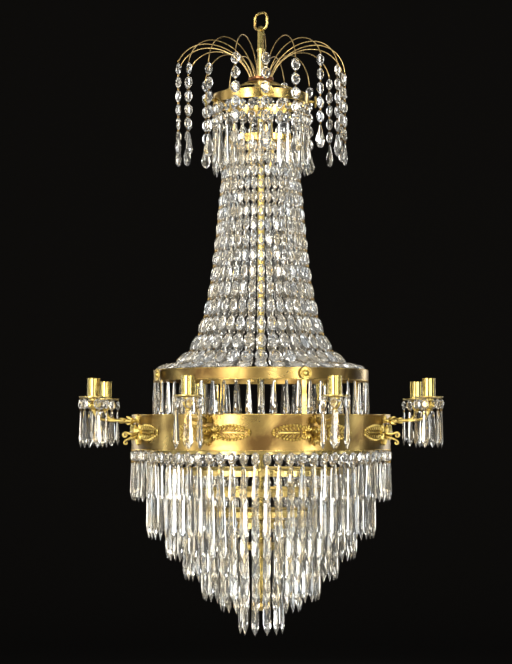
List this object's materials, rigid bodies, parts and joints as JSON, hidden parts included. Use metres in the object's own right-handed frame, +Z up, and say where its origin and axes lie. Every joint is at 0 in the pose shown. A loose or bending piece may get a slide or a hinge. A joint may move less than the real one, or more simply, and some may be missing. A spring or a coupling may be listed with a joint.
{
  "type": "crystal chandelier",
  "caption": "Hanging crystal chandelier: brass frame with a fountain of bead chains, a beaded basket, a broad band with candle arms, and tapering tiers of pointed drops.",
  "frame": {"origin": "inside top of the hanging link, on the lamp's axis, where the ceiling hook carries it", "axes": "+Z up along the stem, the lamp hangs down -Z; the front of the lamp faces -Y; +X is to the right as seen from the front"},
  "size_m": [0.6816, 0.6816, 1.21],
  "materials": {
    "polished_brass": "polished, lacquered",
    "patinated_brass": "polished sheet with a brown-gold patina",
    "cast_brass": "cast and chased, gilt",
    "brass_wire": "drawn wire, pale",
    "crystal": "clear cut crystal"
  },
  "bodies": {
    "link": {"hanging_link": "polished_brass"},
    "lamp": {"stem": "polished_brass", "stem_finial": "polished_brass", "fountain_collar": "polished_brass", "fountain_wires": "brass_wire", "fountain_beads": "crystal", "fountain_pears": "crystal", "crown_spider": "polished_brass", "crown_ring": "polished_brass", "crown_drops": "crystal", "ring_rosettes": "cast_brass", "basket_ring": "polished_brass", "basket_beads_upper": "crystal", "basket_beads_middle": "crystal", "basket_beads_lower": "crystal", "upper_ring": "patinated_brass", "upper_spears": "crystal", "band_straps": "polished_brass", "main_band": "patinated_brass", "main_spider": "polished_brass", "band_leaves": "cast_brass", "arm_nuts": "polished_brass", "tier_drops_1": "crystal", "tier_ring_2": "polished_brass", "tier_drops_2": "crystal", "tier_ring_3": "polished_brass", "tier_drops_3": "crystal", "tier_ring_4": "polished_brass", "tier_drops_4": "crystal", "tier_ring_5": "polished_brass", "tier_drops_5": "crystal", "tier_ring_6": "polished_brass", "tier_drops_6": "crystal", "tier_ring_7": "polished_brass", "tier_drops_7": "crystal", "arm_1": "cast_brass", "arm_2": "cast_brass", "arm_3": "cast_brass", "arm_4": "cast_brass", "arm_5": "cast_brass", "arm_6": "cast_brass", "arm_7": "cast_brass", "arm_8": "cast_brass", "candle_cups": "polished_brass"},
    "pan_1": {"drip_pan_1": "polished_brass", "pan_drops_1": "crystal"},
    "pan_2": {"drip_pan_2": "polished_brass", "pan_drops_2": "crystal"},
    "pan_3": {"drip_pan_3": "polished_brass", "pan_drops_3": "crystal"},
    "pan_4": {"drip_pan_4": "polished_brass", "pan_drops_4": "crystal"},
    "pan_5": {"drip_pan_5": "polished_brass", "pan_drops_5": "crystal"},
    "pan_6": {"drip_pan_6": "polished_brass", "pan_drops_6": "crystal"},
    "pan_7": {"drip_pan_7": "polished_brass", "pan_drops_7": "crystal"},
    "pan_8": {"drip_pan_8": "polished_brass", "pan_drops_8": "crystal"}
  },
  "joints": [
    {"name": "lamp_swing", "type": "hinge", "parent": "link", "child": "lamp", "pos_m": [0, 0, -0.0305], "axis": [0.766, -0.6428, 0], "range_deg": [-15, 15]},
    {"name": "pan_turn_1", "type": "hinge", "parent": "lamp", "child": "pan_1", "pos_m": [0.12935, -0.31227, -0.7547], "axis": [0, 0, 1], "range_deg": [-8, 8]},
    {"name": "pan_turn_2", "type": "hinge", "parent": "lamp", "child": "pan_2", "pos_m": [0.31227, -0.12935, -0.7547], "axis": [0, 0, 1], "range_deg": [-8, 8]},
    {"name": "pan_turn_3", "type": "hinge", "parent": "lamp", "child": "pan_3", "pos_m": [0.31227, 0.12935, -0.7547], "axis": [0, 0, 1], "range_deg": [-8, 8]},
    {"name": "pan_turn_4", "type": "hinge", "parent": "lamp", "child": "pan_4", "pos_m": [0.12935, 0.31227, -0.7547], "axis": [0, 0, 1], "range_deg": [-8, 8]},
    {"name": "pan_turn_5", "type": "hinge", "parent": "lamp", "child": "pan_5", "pos_m": [-0.12935, 0.31227, -0.7547], "axis": [0, 0, 1], "range_deg": [-8, 8]},
    {"name": "pan_turn_6", "type": "hinge", "parent": "lamp", "child": "pan_6", "pos_m": [-0.31227, 0.12935, -0.7547], "axis": [0, 0, 1], "range_deg": [-8, 8]},
    {"name": "pan_turn_7", "type": "hinge", "parent": "lamp", "child": "pan_7", "pos_m": [-0.31227, -0.12935, -0.7547], "axis": [0, 0, 1], "range_deg": [-8, 8]},
    {"name": "pan_turn_8", "type": "hinge", "parent": "lamp", "child": "pan_8", "pos_m": [-0.12935, -0.31227, -0.7547], "axis": [0, 0, 1], "range_deg": [-8, 8]}
  ]
}
